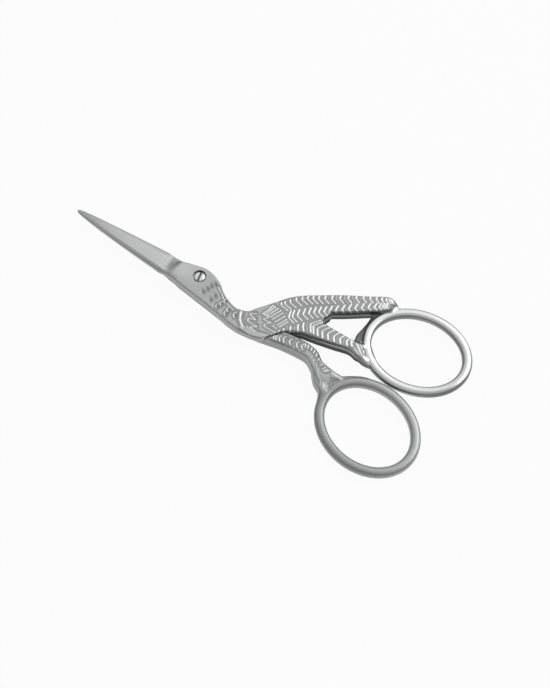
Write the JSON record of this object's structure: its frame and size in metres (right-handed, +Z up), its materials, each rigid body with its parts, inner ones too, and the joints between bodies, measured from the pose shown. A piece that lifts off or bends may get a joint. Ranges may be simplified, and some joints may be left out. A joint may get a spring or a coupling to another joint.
{
  "type": "embroidery scissors",
  "caption": "Stork-shaped embroidery scissors: lapped steel halves with slim pointed blades, a wing above an open window, oval finger rings and a slotted pivot screw.",
  "frame": {"origin": "on the screw's axis, at the level of the flat back faces that the scissors rest on", "axes": "+X from the screw towards the finger rings, +Y towards the wing and the upper ring, +Z up through the thickness, out of the front face with the screw's slot"},
  "size_m": [0.0893, 0.0387, 0.0034],
  "materials": {
    "front_steel": "satin blade and body with polished ring",
    "back_steel": "satin, slightly duller than the front half",
    "screw_steel": "polished head"
  },
  "bodies": {
    "back": {"back_half": "back_steel", "pivot_screw": "screw_steel"},
    "front": {"front_half": "front_steel"}
  },
  "joints": [
    {"name": "blades_open", "type": "hinge", "parent": "back", "child": "front", "pos_m": [0, 0, 0], "axis": [0, 0, 1], "range_deg": [0, 150]}
  ]
}
